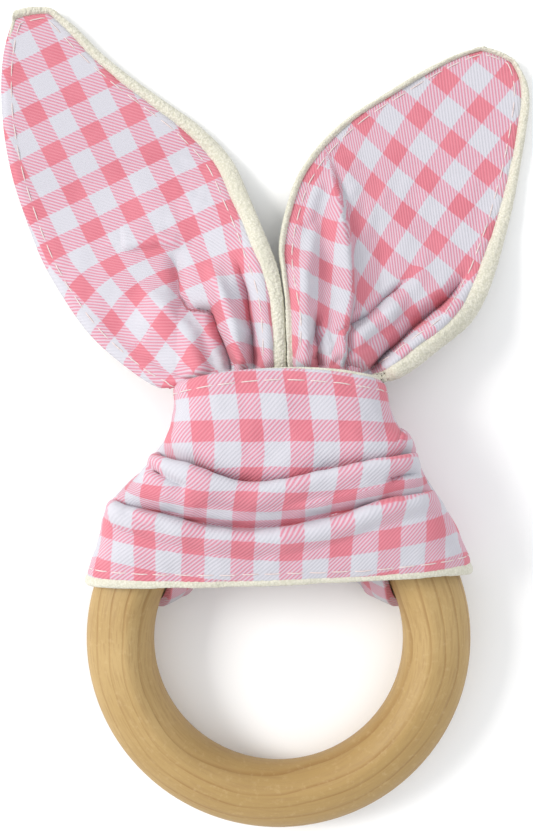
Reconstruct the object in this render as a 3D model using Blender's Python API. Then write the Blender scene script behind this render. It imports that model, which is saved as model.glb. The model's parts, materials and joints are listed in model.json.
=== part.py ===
"""A teething ring: a turned wooden ring with one lined strip of cloth hitched round its top.

The strip is two layers sewn face to face, turned out and topstitched: checked cotton outside, terry
towelling inside. Its middle lies across the front of the ring as a band. Each half goes round the
ring's outer shoulder, behind the ring, up through the hole and out under the band, and ends in an ear.
The object lies on its back: +Z is the front, +Y points from the ring to the ears, and z = 0 is the
surface that it lies on. Every length below is in millimetres, and positions are measured from the
ring's centre in x and y, until metres() brings a point into the object's own frame.
"""

import math

import bmesh
import bpy
import numpy as np

MM = 0.001
RING_CENTRE = (2.38, -41.26)  # in the object's frame, whose origin is the middle of its footprint
RING_RADIUS = 28.85  # to the middle of the wood
WOOD_WIDE = 12.3  # across the wood, in the ring's plane
WOOD_THICK = 12.0  # through the wood, along the ring's axis
RING_TILT = math.radians(4.6)  # the cloth behind the top of the ring lifts it
RIDGE = 1.5  # exponent of the wood's section: below 2 gives its faces a soft ridge

GAP = 0.3  # between two pieces that touch
CHECK_THICK = 0.7
TERRY_THICK = 1.5
CHECK_GATHERED = 1.2  # where the strip is folded up small to pass through the hole
TERRY_GATHERED = 3.0
THREAD_RADIUS = 0.25
STITCH_LIFT = 0.45  # clear space between the thread and the cloth it is sewn to
STITCH_INSET = 0.06  # share of the strip's width between its edge and the topstitch

BAND_LEFT = [(-35.7, 11.0), (-32.8, 17.5), (-30.4, 25.5), (-24.0, 32.4), (-20.0, 39.5), (-18.8, 46.4)]
BAND_RIGHT = [(35.9, 12.6), (33.2, 19.0), (29.4, 25.5), (25.0, 33.2), (21.2, 40.0), (19.6, 46.4)]
BAND_TOP_BOW = 2.4  # the band's upper edge rises in its middle
BAND_SIDE_Z = [8.6, 8.8, 9.0, 9.0, 9.0, 9.0]  # height of the fold at the band's two sides
BAND_FRONT_Z = [20.2, 22.9, 24.2, 24.3, 23.7, 22.5]  # height of its front, from the lower edge up
BAND_SQUARENESS = [3.2, 3.6, 4.0, 4.0, 4.0, 4.2]  # exponent of the arch from side to side

NECK_Y = 48.8  # where the strip leaves the band
EAR_Y = 49.8  # where the ears begin
NECK_Z = 18.4
NECK_DROP = 3.0  # the gathered strip falls away towards the side of the neck
HINGE_Z = 25.4
FLOOR_Z = TERRY_THICK

LEFT_EAR_OUTER = [
    (-15.2, 49.8), (-31.0, 53.0), (-40.4, 63.1), (-47.0, 77.0), (-51.0, 90.5), (-51.9, 104.5), (-49.6, 116.4)
]
LEFT_EAR_INNER = [
    (-0.4, 49.8), (-0.4, 60.5), (-2.0, 72.5), (-8.6, 88.5), (-21.1, 99.5), (-33.3, 109.0), (-42.0, 116.8)
]
RIGHT_EAR_INNER = [
    (2.2, 49.8), (2.0, 60.5), (1.8, 72.0), (4.0, 86.2), (12.4, 96.2), (25.0, 104.6), (34.5, 108.9)
]
RIGHT_EAR_OUTER = [
    (16.0, 49.8), (29.8, 53.6), (38.6, 62.6), (42.6, 75.0), (45.6, 88.0), (47.2, 98.0), (45.4, 105.4)
]
EAR_TIP_BOW = 0.8
EAR_DROP_LENGTH = 44.0  # from the neck to where an ear lies on the surface
EAR_FOLD_LENGTH = 40.0  # from the neck to where its folds have opened out
EAR_FOLD_START = 12.0  # from the neck to where its folds are highest
EAR_FOLD_HEIGHT = 2.2
EAR_FOLDS = 1.5  # folds across one ear

RING_STEPS = 64
WOOD_STEPS = 16


def metres(point):
    """A point in millimetres from the ring's centre, in the object's frame in metres."""
    x, y, z = point
    return ((x + RING_CENTRE[0]) * MM, (y + RING_CENTRE[1]) * MM, z * MM)


def smooth(values, share):
    """The value at a share from 0 to 1 along the smooth curve through evenly spaced values."""
    values = np.array(values, float)
    place = min(max(share, 0.0), 1.0) * (len(values) - 1)
    i = min(int(place), len(values) - 2)
    f = place - i
    before = values[i - 1] if i > 0 else 2 * values[0] - values[1]
    after = values[i + 2] if i + 2 < len(values) else 2 * values[-1] - values[-2]
    a, b = values[i], values[i + 1]
    slope_a, slope_b = (b - before) / 2, (after - a) / 2
    square = 3 * (b - a) - 2 * slope_a - slope_b
    cube = 2 * (a - b) + slope_a + slope_b
    return a + slope_a * f + square * f**2 + cube * f**3


def ease(share):
    """0 to 1 with a soft start and end."""
    s = min(max(share, 0.0), 1.0)
    return s * s * (3 - 2 * s)


def mix(a, b, share):
    return a + (b - a) * share


RING_HEIGHT = WOOD_THICK / 2 * math.cos(RING_TILT) + RING_RADIUS * math.sin(RING_TILT)


def tilted(x, y, z):
    """A point of the level ring, carried to where the tilted ring has it."""
    c, s = math.cos(RING_TILT), math.sin(RING_TILT)
    return np.array([x, y * c - z * s, y * s + z * c + RING_HEIGHT])


def by_wood(around, round_wood, reach):
    """A point beside the wood: degrees round the ring from +Y to the left, degrees round the wood
    from its outer side over the front, and its distance from the middle of the wood."""
    phi, psi = math.radians(around), math.radians(round_wood)
    r = RING_RADIUS + reach * math.cos(psi)
    return tilted(-r * math.sin(phi), r * math.cos(phi), reach * math.sin(psi))


def material(name, colour, roughness):
    m = bpy.data.materials.new(name)
    m.use_nodes = True
    shader = m.node_tree.nodes["Principled BSDF"]
    shader.inputs["Base Color"].default_value = (*colour, 1.0)
    shader.inputs["Roughness"].default_value = roughness
    shader.inputs["Metallic"].default_value = 0.0
    return m


def add_object(name, data, coat, parent=None):
    o = bpy.data.objects.new(name, data)
    bpy.context.scene.collection.objects.link(o)
    data.materials.append(coat)
    if parent is not None:
        o.parent = parent
        o.matrix_parent_inverse = parent.matrix_world.inverted()
    return o


def add_solid(name, points, faces, coat, parent=None):
    """A closed mesh object from points in millimetres, with its faces turned outwards."""
    bm = bmesh.new()
    verts = [bm.verts.new(metres(p)) for p in points]
    for face in faces:
        bm.faces.new([verts[i] for i in face])
    bmesh.ops.recalc_face_normals(bm, faces=bm.faces)
    mesh = bpy.data.meshes.new(name)
    bm.to_mesh(mesh)
    bm.free()
    mesh.shade_smooth()
    return add_object(name, mesh, coat, parent)


def lifted(surface, u, v, height, side):
    """The point at that height over a surface; side is 1 or -1, for its outer face."""
    step = 0.004
    du = surface(min(u + step, 1), v) - surface(max(u - step, 0), v)
    dv = surface(u, min(v + step, 1)) - surface(u, max(v - step, 0))
    normal = np.cross(du, dv)
    return surface(u, v) + normal / np.linalg.norm(normal) * height * side


def add_layer(name, surface, side, steps, low, high, coat, parent=None):
    """One layer of cloth: the solid between two heights over a surface, which may change along u."""
    nu, nv = steps
    points = []
    for height in (high, low):
        for i in range(nu + 1):
            for j in range(nv + 1):
                u, v = i / nu, j / nv
                points.append(lifted(surface, u, v, height(u), side))
    row, sheet = nv + 1, (nu + 1) * (nv + 1)
    faces = []
    for i in range(nu):
        for j in range(nv):
            a = i * row + j
            faces.append((a, a + 1, a + row + 1, a + row))
            faces.append((a + sheet, a + row + sheet, a + row + 1 + sheet, a + 1 + sheet))
    rim = [j for j in range(nv)]
    rim += [i * row + nv for i in range(nu)]
    rim += [nu * row + j for j in range(nv, 0, -1)]
    rim += [i * row for i in range(nu, 0, -1)]
    for a, b in zip(rim, rim[1:] + rim[:1]):
        faces.append((a, b, b + sheet, a + sheet))
    return add_solid(name, points, faces, coat, parent)


def even(thickness):
    return lambda u: thickness


def add_cloth(
    name, surface, side, steps, coats, parent=None, check=even(CHECK_THICK), terry=even(TERRY_THICK)
):
    """Both layers of a stretch of the strip, either side of one surface."""

    def outer_face(u):
        return GAP + check(u)

    def inner_face(u):
        return -terry(u)

    add_layer(name + "_gingham", surface, side, steps, even(GAP), outer_face, coats["gingham"], parent)
    add_layer(name + "_terry", surface, side, steps, inner_face, even(0.0), coats["terry"], parent)


def add_thread(name, surface, side, path, coat, parent=None):
    """Sewing thread laid on the checked layer along a path of places on a surface."""
    height = GAP + CHECK_THICK + STITCH_LIFT + THREAD_RADIUS
    curve = bpy.data.curves.new(name, "CURVE")
    curve.dimensions = "3D"
    curve.bevel_depth = THREAD_RADIUS * MM
    curve.bevel_resolution = 1
    curve.use_fill_caps = True
    line = curve.splines.new("POLY")
    line.points.add(len(path) - 1)
    for point, (u, v) in zip(line.points, path):
        point.co = (*metres(lifted(surface, u, v, height, side)), 1.0)
    return add_object(name, curve, coat, parent)


def add_ring(coat):
    """The wooden ring: a section with softly ridged faces, swept round the ring's own axis."""
    points, faces = [], []
    for i in range(RING_STEPS):
        turn = 2 * math.pi * i / RING_STEPS
        for k in range(WOOD_STEPS):
            angle = 2 * math.pi * k / WOOD_STEPS
            out = math.cos(angle)
            up = math.copysign((1 - abs(out) ** RIDGE) ** 0.5, math.sin(angle))
            r = RING_RADIUS + out * WOOD_WIDE / 2
            points.append(tilted(r * math.cos(turn), r * math.sin(turn), up * WOOD_THICK / 2))
            i2, k2 = (i + 1) % RING_STEPS, (k + 1) % WOOD_STEPS
            a, b = i * WOOD_STEPS, i2 * WOOD_STEPS
            faces.append((a + k, b + k, b + k2, a + k2))
    axis = bpy.data.objects.new("ring_axis", None)
    bpy.context.scene.collection.objects.link(axis)
    axis.location = metres((0.0, 0.0, RING_HEIGHT))
    axis.rotation_euler = (RING_TILT, 0.0, 0.0)
    bpy.context.view_layer.update()
    return add_solid("wooden_ring", points, faces, coat, axis)


def band(u, v):
    """The band across the front, from its left fold to its right and from its lower edge up."""
    left, right = smooth(BAND_LEFT, v), smooth(BAND_RIGHT, v)
    low, high = smooth(BAND_SIDE_Z, v), smooth(BAND_FRONT_Z, v)
    power = 2 / smooth(BAND_SQUARENESS, v)
    angle = math.pi * (1 - u)
    across = math.copysign(abs(math.cos(angle)) ** power, math.cos(angle))
    rise = math.sin(angle) ** power if 0 < u < 1 else 0.0
    middle = mix(left, right, (across + 1) / 2)
    bow = BAND_TOP_BOW * v**3 * (1 - across**2)
    return np.array([middle[0], middle[1] + bow, mix(low, high, rise)])


def wrap_check(u):
    """The checked layer's thickness along a wrap, which folds up small towards the hole."""
    return mix(CHECK_THICK, CHECK_GATHERED, ease((u - 0.72) / 0.28))


def wrap_terry(u):
    return mix(TERRY_THICK, TERRY_GATHERED, ease((u - 0.72) / 0.28))


def wrap(side):
    """The strip behind the ring, from a fold of the band to the hole, for side 1 (left) or -1."""
    fold = BAND_LEFT if side > 0 else BAND_RIGHT
    back = CHECK_THICK + GAP

    def surface(u, v):
        start = smooth(fold, v)
        top = smooth(BAND_SIDE_Z, v) - 2 * GAP
        inner = mix(62.0, 1.2, v)
        behind = by_wood(side * mix(64.0, 6.0, v), 262.0, 0.0)
        path = [
            (start[0], start[1], top),
            (start[0] + side * 0.6, start[1] - 0.4, mix(top, back, 0.55)),
            (start[0] + side * mix(4.5, 4.0, v), start[1] - mix(1.2, 2.4, v), back + 0.3),
            (mix(start[0], behind[0], 0.55), mix(start[1], behind[1], 0.5) - mix(2.0, 1.0, v), back - 0.6),
            (behind[0] + side * 1.5, behind[1] - 1.0, back - 0.3),
            by_wood(side * inner, 240.0, 9.2),
            by_wood(side * mix(57.0, 1.2, v), 213.0, 9.8),
        ]
        x, y, z = smooth(path, u)
        return np.array([x, y, max(z, GAP + wrap_check(u))])

    return surface


def root(side):
    """The gathered strip from the hole, over the front of the ring and under the band, to the neck."""

    def surface(u, v):
        edge = mix(-14.6, -0.6, v) if side > 0 else mix(15.0, 1.7, v)
        drop = NECK_DROP * (1 - v) ** 2
        path = [
            by_wood(side * mix(55.0, 1.4, v), 191.0, 9.9),
            by_wood(side * mix(48.0, 1.6, v), 160.0, 9.9),
            by_wood(side * mix(37.0, 1.8, v), 122.0, 9.9),
            by_wood(side * mix(30.0, 2.0, v), 90.0, 9.7),
            (edge, 39.5, mix(20.0, NECK_Z, 0.5) - drop * 0.5),
            (edge, NECK_Y, NECK_Z - drop),
        ]
        return smooth(path, u)

    return surface


def ear(left, right, outer_left):
    """An ear from the neck to its tip, from its left edge to its right."""

    low, high = sorted((left[0][0], right[0][0]))
    centre = high if outer_left else low

    def surface(u, v):
        a, b = smooth(left, u), smooth(right, u)
        across = (b - a) / np.linalg.norm(b - a)
        x, y = mix(a, b, v) + np.array([-across[1], across[0]]) * EAR_TIP_BOW * u**4 * 4 * v * (1 - v)
        far = math.hypot(x - min(max(x, low), high), y - EAR_Y)
        neck = NECK_Z - NECK_DROP * min(abs(x - centre) / (high - low), 1.0) ** 2
        fold = EAR_FOLD_HEIGHT * ease(far / EAR_FOLD_START) * (1 - ease(far / EAR_FOLD_LENGTH))
        z = mix(neck, FLOOR_Z, ease(far / EAR_DROP_LENGTH)) + fold * math.sin(2 * math.pi * EAR_FOLDS * v)
        return np.array([x, y, max(z, FLOOR_Z)])

    return surface


def ear_hem(points):
    """The topstitch of an ear: up one edge, round the tip and down the other."""
    inset, tip = STITCH_INSET, 1 - STITCH_INSET * 0.6
    up = [(mix(0.03, tip, i / points), inset) for i in range(points)]
    over = [(tip, mix(inset, 1 - inset, i / 6)) for i in range(6)]
    down = [(mix(tip, 0.03, i / points), 1 - inset) for i in range(points + 1)]
    return up + over + down


def add_ear(name, left, right, outer_left, coats):
    """An ear on its own hinge, which lies along the band's upper edge."""
    hinge = bpy.data.objects.new(name + "_hinge", None)
    bpy.context.scene.collection.objects.link(hinge)
    hinge.location = metres((mix(left[0][0], right[0][0], 0.5), EAR_Y, HINGE_Z))
    bpy.context.view_layer.update()
    surface = ear(left, right, outer_left)
    add_cloth(name, surface, -1, (13, 13), coats, hinge)
    add_thread(name + "_topstitch", surface, -1, ear_hem(16), coats["thread"], hinge)


def main():
    for o in list(bpy.data.objects):
        bpy.data.objects.remove(o)
    wood = material("beech", (0.66, 0.49, 0.28), 0.55)
    coats = {
        "gingham": material("pink_gingham", (0.86, 0.42, 0.48), 0.9),
        "terry": material("cream_terry", (0.88, 0.87, 0.79), 1.0),
        "thread": material("white_thread", (0.93, 0.9, 0.86), 0.6),
    }
    add_ring(wood)
    add_cloth("band", band, 1, (20, 8), coats)
    for name, side in (("left", 1), ("right", -1)):
        add_cloth(name + "_wrap", wrap(side), -side, (14, 7), coats, None, wrap_check, wrap_terry)
        thick = (even(CHECK_GATHERED), even(TERRY_GATHERED))
        add_cloth(name + "_root", root(side), -side, (11, 5), coats, None, *thick)
    across = [0.04 + 0.92 * i / 30 for i in range(31)]
    add_thread("band_upper_topstitch", band, 1, [(u, 1 - STITCH_INSET) for u in across], coats["thread"])
    add_thread("band_lower_topstitch", band, 1, [(u, STITCH_INSET) for u in across], coats["thread"])
    add_ear("left_ear", LEFT_EAR_OUTER, LEFT_EAR_INNER, True, coats)
    add_ear("right_ear", RIGHT_EAR_INNER, RIGHT_EAR_OUTER, False, coats)


main()
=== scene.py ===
"""The looks of the teething ring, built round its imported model.

The ring is turned wood. The cloth is one strip of two layers, pink gingham twill outside and cream terry
inside, cut to a leaf at both ends, sewn, turned out and topstitched. Its middle is the band across the
front of the ring, and its two leaves are the ears. Lengths are in millimetres and places are measured
from the ring's centre in x and y, with z up from the surface below, until metres() brings them into
the object's frame.
"""

import json
import math

import bpy
import numpy as np
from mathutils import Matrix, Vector, noise


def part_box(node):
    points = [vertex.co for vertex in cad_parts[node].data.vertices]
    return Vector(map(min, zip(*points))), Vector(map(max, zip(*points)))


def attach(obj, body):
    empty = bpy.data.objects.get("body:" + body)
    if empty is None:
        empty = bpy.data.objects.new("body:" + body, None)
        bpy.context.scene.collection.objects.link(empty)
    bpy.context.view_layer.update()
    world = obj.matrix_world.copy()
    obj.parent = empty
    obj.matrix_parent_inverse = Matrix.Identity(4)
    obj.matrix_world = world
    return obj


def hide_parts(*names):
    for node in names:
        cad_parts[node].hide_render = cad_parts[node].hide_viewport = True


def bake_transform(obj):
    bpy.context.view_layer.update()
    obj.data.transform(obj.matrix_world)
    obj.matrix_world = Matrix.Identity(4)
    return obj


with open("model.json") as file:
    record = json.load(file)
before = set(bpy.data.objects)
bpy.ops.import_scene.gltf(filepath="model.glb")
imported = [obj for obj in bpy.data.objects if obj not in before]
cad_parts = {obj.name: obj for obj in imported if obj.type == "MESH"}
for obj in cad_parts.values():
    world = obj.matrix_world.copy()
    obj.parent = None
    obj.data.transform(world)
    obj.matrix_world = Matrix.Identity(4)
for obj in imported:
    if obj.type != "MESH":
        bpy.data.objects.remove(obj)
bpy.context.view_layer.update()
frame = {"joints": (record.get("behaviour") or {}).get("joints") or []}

MM = 0.001
TURN = next(j for j in frame["joints"] if j["name"] == "ring_turn")
RING_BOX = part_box("wooden_ring")
RING_CENTRE = (RING_BOX[0] + RING_BOX[1]) / 2 / MM
RING_RADIUS = 28.85  # to the middle of the wood
WOOD_WIDE = 12.3
WOOD_THICK = 12.0
RING_TILT = math.atan2(-TURN["axis"][1], TURN["axis"][2])

CHECK = 8.45  # one repeat of the gingham
CHECK_THICK = 0.5
TERRY_THICK = 1.3

# The band, from the fold at its left side to the fold at its right, each from its lower edge up.
BAND_LEFT = [(-34.5, 11.3), (-31.9, 18.3), (-29.7, 25.2), (-22.6, 32.3), (-18.7, 39.5), (-18.2, 46.7)]
BAND_RIGHT = [(34.6, 13.6), (31.8, 20.2), (27.5, 26.9), (23.8, 33.5), (20.2, 40.2), (18.4, 46.9)]
BAND_TOP_BOW = 2.2
BAND_LOW_BOW = 0.9
BAND_SIDE_Z = [8.6, 8.8, 9.0, 9.0, 9.0, 9.0]
BAND_FRONT_Z = [20.2, 22.9, 24.2, 24.3, 23.7, 22.5]
BAND_SQUARENESS = [3.2, 3.6, 4.0, 4.0, 4.0, 4.2]

# Its two deep swags: each one's height up the band, from its left fold to its right, and its depth there.
UPPER_SWAG = (
    [0.66, 0.64, 0.60, 0.52, 0.495, 0.55, 0.59, 0.61, 0.62],
    [0.8, 1.1, 1.2, 1.0, 0.95, 0.85, 0.75, 0.8, 0.7],
)
LOWER_SWAG = (
    [0.42, 0.41, 0.35, 0.281, 0.268, 0.315, 0.385, 0.41, 0.42],
    [1.0, 1.2, 1.1, 0.95, 0.9, 0.95, 0.9, 0.45, 0.2],
)
# How a swag's fold runs across itself: distance down the band and height, from the cloth above it,
# under the fold, and over its rounded top to the cloth below.
SWAG_SECTION = [
    (-4.6, 0.0), (-3.3, -0.2), (-2.1, -0.7), (-1.0, -1.5), (0.0, -2.2), (0.7, -2.3), (0.85, -1.7),
    (0.6, -0.9), (0.4, -0.1), (0.5, 0.6), (1.1, 1.1), (2.2, 1.15), (3.5, 0.8), (4.8, 0.3), (5.6, 0.05),
    (6.2, 0.0),
]
SWAG_DEPTH = 1.25
SWAG_ROOM = 11.4  # how far apart two such folds lie when neither is squeezed
# Smaller creases between them: a line of points, height, and how far each falls off to its left and right.
BAND_CREASES = [
    ([(-22.6, 32.3), (-19.2, 30.4), (-16.6, 29.0), (-14.6, 28.4)], -1.7, 0.7, 1.1),
    ([(-15.0, 25.4), (-5.0, 23.9), (5.0, 23.8), (14.0, 24.8)], -0.7, 1.1, 1.4),
    ([(19.0, 29.8), (21.6, 30.7), (24.6, 31.2)], -1.8, 0.8, 0.8),
    ([(20.5, 36.8), (23.5, 35.2), (25.0, 33.4)], 1.2, 1.5, 1.5),
    ([(-27.5, 24.4), (-22.5, 21.6), (-17.0, 20.4)], -0.6, 1.2, 0.8),
]
STRIP_WIDE = [56.0, 55.0, 53.3, 52.2, 51.6, 52.0, 53.2, 54.7, 55.7]  # the cut strip, across the band
SWAG_SHARES = (0.34, 0.35, 0.31)  # of the cloth taken up: upper fold, slack above the lower one, lower fold
FIRST_ROW = [1.5, 1.6, 1.8, 2.2, 2.5, 2.6, 2.6, 2.7, 2.7]  # from the upper edge to the first pink row
COLUMN_LEAN = [1.6, 2.0, 3.5, 3.1, 2.6, 2.2]  # x of the middle pink column, from the lower edge up
LOWER_LIP = [1.0, 0.9, 0.6, 0.45, 0.4, 0.4, 0.5, 0.9, 1.5]  # of terry past the gingham, along the band
UPPER_LIP = 0.5  # the same along its upper edge, at its right side only
CORE_DEPTH = 3.5  # the terry lies this far in, clear of the folds of the gingham over it

EAR_Y = 49.8  # where the ears come out from under the band
NECK_Z = 18.4  # height of their cloth there, which is NECK_DROP less at their outer edges
NECK_DROP = 5.5
EAR_BELOW = 5.0  # how far an ear reaches in under the band
FLOOR_Z = 1.5  # height of an ear that lies on the surface
EAR_DROP_LENGTH = 44.0  # from the neck to where it does
EAR_LENGTH = 70.0  # the visible ear, about

LEFT_EAR_OUTER = [
    (-18.2, 46.2), (-21.8, 45.9), (-28.0, 49.9), (-34.5, 55.6), (-39.9, 62.9), (-43.9, 69.6), (-47.0, 77.0),
    (-49.4, 84.0), (-51.0, 91.0), (-51.8, 98.0), (-51.9, 104.8), (-51.2, 110.6), (-49.6, 116.4),
]
LEFT_EAR_INNER = [
    (1.4, 49.8), (1.3, 55.0), (1.0, 60.5), (0.1, 66.5), (-1.9, 72.5), (-4.8, 80.0), (-8.6, 88.5),
    (-14.4, 94.8), (-21.1, 99.7), (-27.4, 104.2), (-33.3, 109.0), (-37.9, 113.6), (-42.0, 116.8),
]
RIGHT_EAR_INNER = [
    (1.5, 49.8), (1.4, 55.0), (1.1, 60.5), (0.4, 66.0), (0.0, 71.5), (1.2, 78.5), (3.4, 85.2),
    (7.4, 91.4), (13.0, 96.7), (19.6, 101.0), (26.5, 105.2), (32.6, 108.2), (37.8, 109.8),
]
RIGHT_EAR_OUTER = [
    (18.4, 46.6), (23.0, 48.4), (29.0, 52.8), (34.8, 57.4), (38.4, 62.8), (40.8, 69.0), (42.8, 75.5),
    (44.4, 82.0), (45.6, 88.5), (46.6, 94.5), (47.2, 99.5), (46.6, 103.4), (44.6, 106.8),
]
EAR_TIP_BOW = 0.8


def metres(points):
    """Points in millimetres from the ring's centre, in the object's frame in metres."""
    return (np.asarray(points, float) + (RING_CENTRE[0], RING_CENTRE[1], 0.0)) * MM


def ease(x):
    """0 to 1 with a soft start and end."""
    x = np.clip(x, 0.0, 1.0)
    return x * x * (3 - 2 * x)


def mix(a, b, share):
    return a + (b - a) * share


def fall_off(distance, width):
    """1 at no distance, and near 0 past twice the width."""
    return np.exp(-((distance / width) ** 2))


def spline(points, share):
    """The place at each share from 0 to 1 along the smooth curve through evenly spaced points. Points may
    be numbers, rows of numbers, or one array of rows for each point."""
    points = np.asarray(points, float)
    share = np.clip(np.asarray(share, float), 0.0, 1.0)
    last = len(points) - 1
    i = np.minimum((share * last).astype(int), last - 1)
    f = share * last - i
    padded = np.concatenate([[2 * points[0] - points[1]], points, [2 * points[-1] - points[-2]]])
    if points.ndim == 3:
        column = np.arange(share.size)
        p0, a, b, p3 = (padded[i + k, column] for k in range(4))
    else:
        p0, a, b, p3 = (padded[i + k] for k in range(4))
    if a.ndim > f.ndim:
        f = f[..., None]
    m, n = (b - p0) / 2, (p3 - a) / 2
    return a + m * f + (3 * (b - a) - 2 * m - n) * f**2 + (2 * (a - b) + m + n) * f**3


def stack(*values):
    return np.stack(np.broadcast_arrays(*values), -1)


def normals(grid):
    """Unit normals of a grid of points, by the right-hand rule from its rows to its columns."""
    n = np.cross(np.gradient(grid, axis=0), np.gradient(grid, axis=1))
    return n / np.maximum(np.linalg.norm(n, axis=-1, keepdims=True), 1e-9)


def upward(grid, part=...):
    """The normals of a grid, turned so that those of one part of it point up."""
    out = normals(grid)
    return out * np.sign(np.median(out[part][..., 2]))


def run_length(grid, axis):
    """Distance along the grid's lines, from their first point."""
    steps = np.linalg.norm(np.diff(grid, axis=axis), axis=-1)
    return np.insert(np.cumsum(steps, axis=axis), 0, 0.0, axis=axis)


def from_edges(grid):
    """Distance down a grid from its first row, and up it from its last."""
    return run_length(grid, 0), run_length(grid[::-1], 0)[::-1]


def between(x, known, points):
    """The points at each x, from points known at rising values of it."""
    return np.stack([np.interp(x, known, axis) for axis in points.T], -1)


def waves(points, size, seed):
    """Smooth noise from about -1 to 1 at each point of a grid, with features of a size in millimetres."""
    flat = np.asarray(points, float).reshape(-1, 3) / size + seed * 17.3
    return np.array([noise.noise(p) for p in flat.tolist()]).reshape(np.shape(points)[:-1]) * 1.6


def pile(points, size, seed):
    """Rounded lumps from 0 to 1 at each point of a grid: the loops of terry, of a size in millimetres."""
    flat = np.asarray(points, float).reshape(-1, 3) / size + seed * 11.7
    near = np.array([noise.voronoi(p)[0][0] for p in flat.tolist()]).reshape(np.shape(points)[:-1])
    return 1 - np.clip(near / 0.75, 0, 1) ** 2


# ---------- meshes


def put(name, data):
    """A new object in the scene."""
    thing = bpy.data.objects.new(name, data)
    bpy.context.scene.collection.objects.link(thing)
    return thing


def finish_piece(name, mesh, coat):
    mesh.materials.append(coat)
    mesh.shade_smooth()
    return put(name, mesh)


def make_mesh(name, points, faces, cut=None):
    mesh = bpy.data.meshes.new(name)
    mesh.from_pydata(metres(points).tolist(), [], faces)
    if cut is not None:
        corner = np.zeros(len(mesh.loops), np.int32)
        mesh.loops.foreach_get("vertex_index", corner)
        layer = mesh.uv_layers.new(name="cut")
        layer.data.foreach_set("uv", np.asarray(cut, np.float32)[corner].ravel())
    mesh.update()
    return mesh


def grid_faces(nu, nv):
    """The faces of a grid of nu rows of nv points."""
    a = (np.arange(nu - 1)[:, None] * nv + np.arange(nv - 1)[None]).ravel()
    return np.stack([a, a + nv, a + nv + 1, a + 1], 1)


def cloth_piece(name, outer, inner, cut, coat):
    """A closed layer of cloth between two grids of points, whose cut gives each place on the flat cloth."""
    nu, nv = outer.shape[:2]
    points = np.concatenate([outer.reshape(-1, 3), inner.reshape(-1, 3)])
    sheet = nu * nv
    top = grid_faces(nu, nv)
    bottom = top[:, [0, 3, 2, 1]] + sheet
    rim = np.concatenate([
        np.arange(nv - 1), np.arange(nu - 1) * nv + nv - 1,
        (nu - 1) * nv + np.arange(nv - 1, 0, -1), np.arange(nu - 1, 0, -1) * nv,
    ])
    after = np.roll(rim, -1)
    side = np.stack([rim, after, after + sheet, rim + sheet], 1)
    faces = np.concatenate([top, bottom, side]).tolist()
    both = np.concatenate([cut.reshape(-1, 2)] * 2)
    return finish_piece(name, make_mesh(name, points, faces, both), coat)


STITCH_LONG = 3.1
STITCH_STEP = 3.9
STITCH_RISE = 0.31  # of a stitch's middle above its ends
STITCH_SUNK = 0.22  # of its ends below the cloth's surface
STITCH_POINTS = 7
THREAD_RADIUS = 0.115
THREAD_SIDES = 6


def stitch_piece(name, path, up, coat):
    """A row of running stitches along a path of points, each a short thread that dips into the cloth."""
    along = run_length(path, 0)
    count = int(along[-1] / STITCH_STEP)
    rise = STITCH_RISE * np.sin(math.pi * np.linspace(0.04, 0.96, STITCH_POINTS)) ** 0.5 - STITCH_SUNK
    turn = 2 * math.pi * np.arange(THREAD_SIDES)[:, None] / THREAD_SIDES
    points, faces = [], []
    for k in range(count):
        place = (k + 0.2) * along[-1] / count + np.linspace(0, STITCH_LONG, STITCH_POINTS)
        lift = between(place, along, up)
        line = between(place, along, path) + lift * rise[:, None]
        ahead = np.gradient(line, axis=0)
        ahead /= np.linalg.norm(ahead, axis=1, keepdims=True)
        side = np.cross(ahead, lift)
        first = len(points)
        for i in range(STITCH_POINTS):
            points.extend(line[i] + (side[i] * np.cos(turn) + lift[i] * np.sin(turn)) * THREAD_RADIUS)
        last = len(points) - THREAD_SIDES
        for a in range(first, last, THREAD_SIDES):
            for s in range(THREAD_SIDES):
                t = (s + 1) % THREAD_SIDES
                faces.append((a + s, a + t, a + THREAD_SIDES + t, a + THREAD_SIDES + s))
        faces.append(tuple(range(first + THREAD_SIDES - 1, first - 1, -1)))
        faces.append(tuple(range(last, last + THREAD_SIDES)))
    return finish_piece(name, make_mesh(name, np.array(points), faces), coat)


def fit(piece, body, material, *stands_for):
    """Rides a piece on its body, in place of the CAD solids it stands for."""
    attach(piece, body)
    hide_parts(*stands_for)


# ---------- materials


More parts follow.
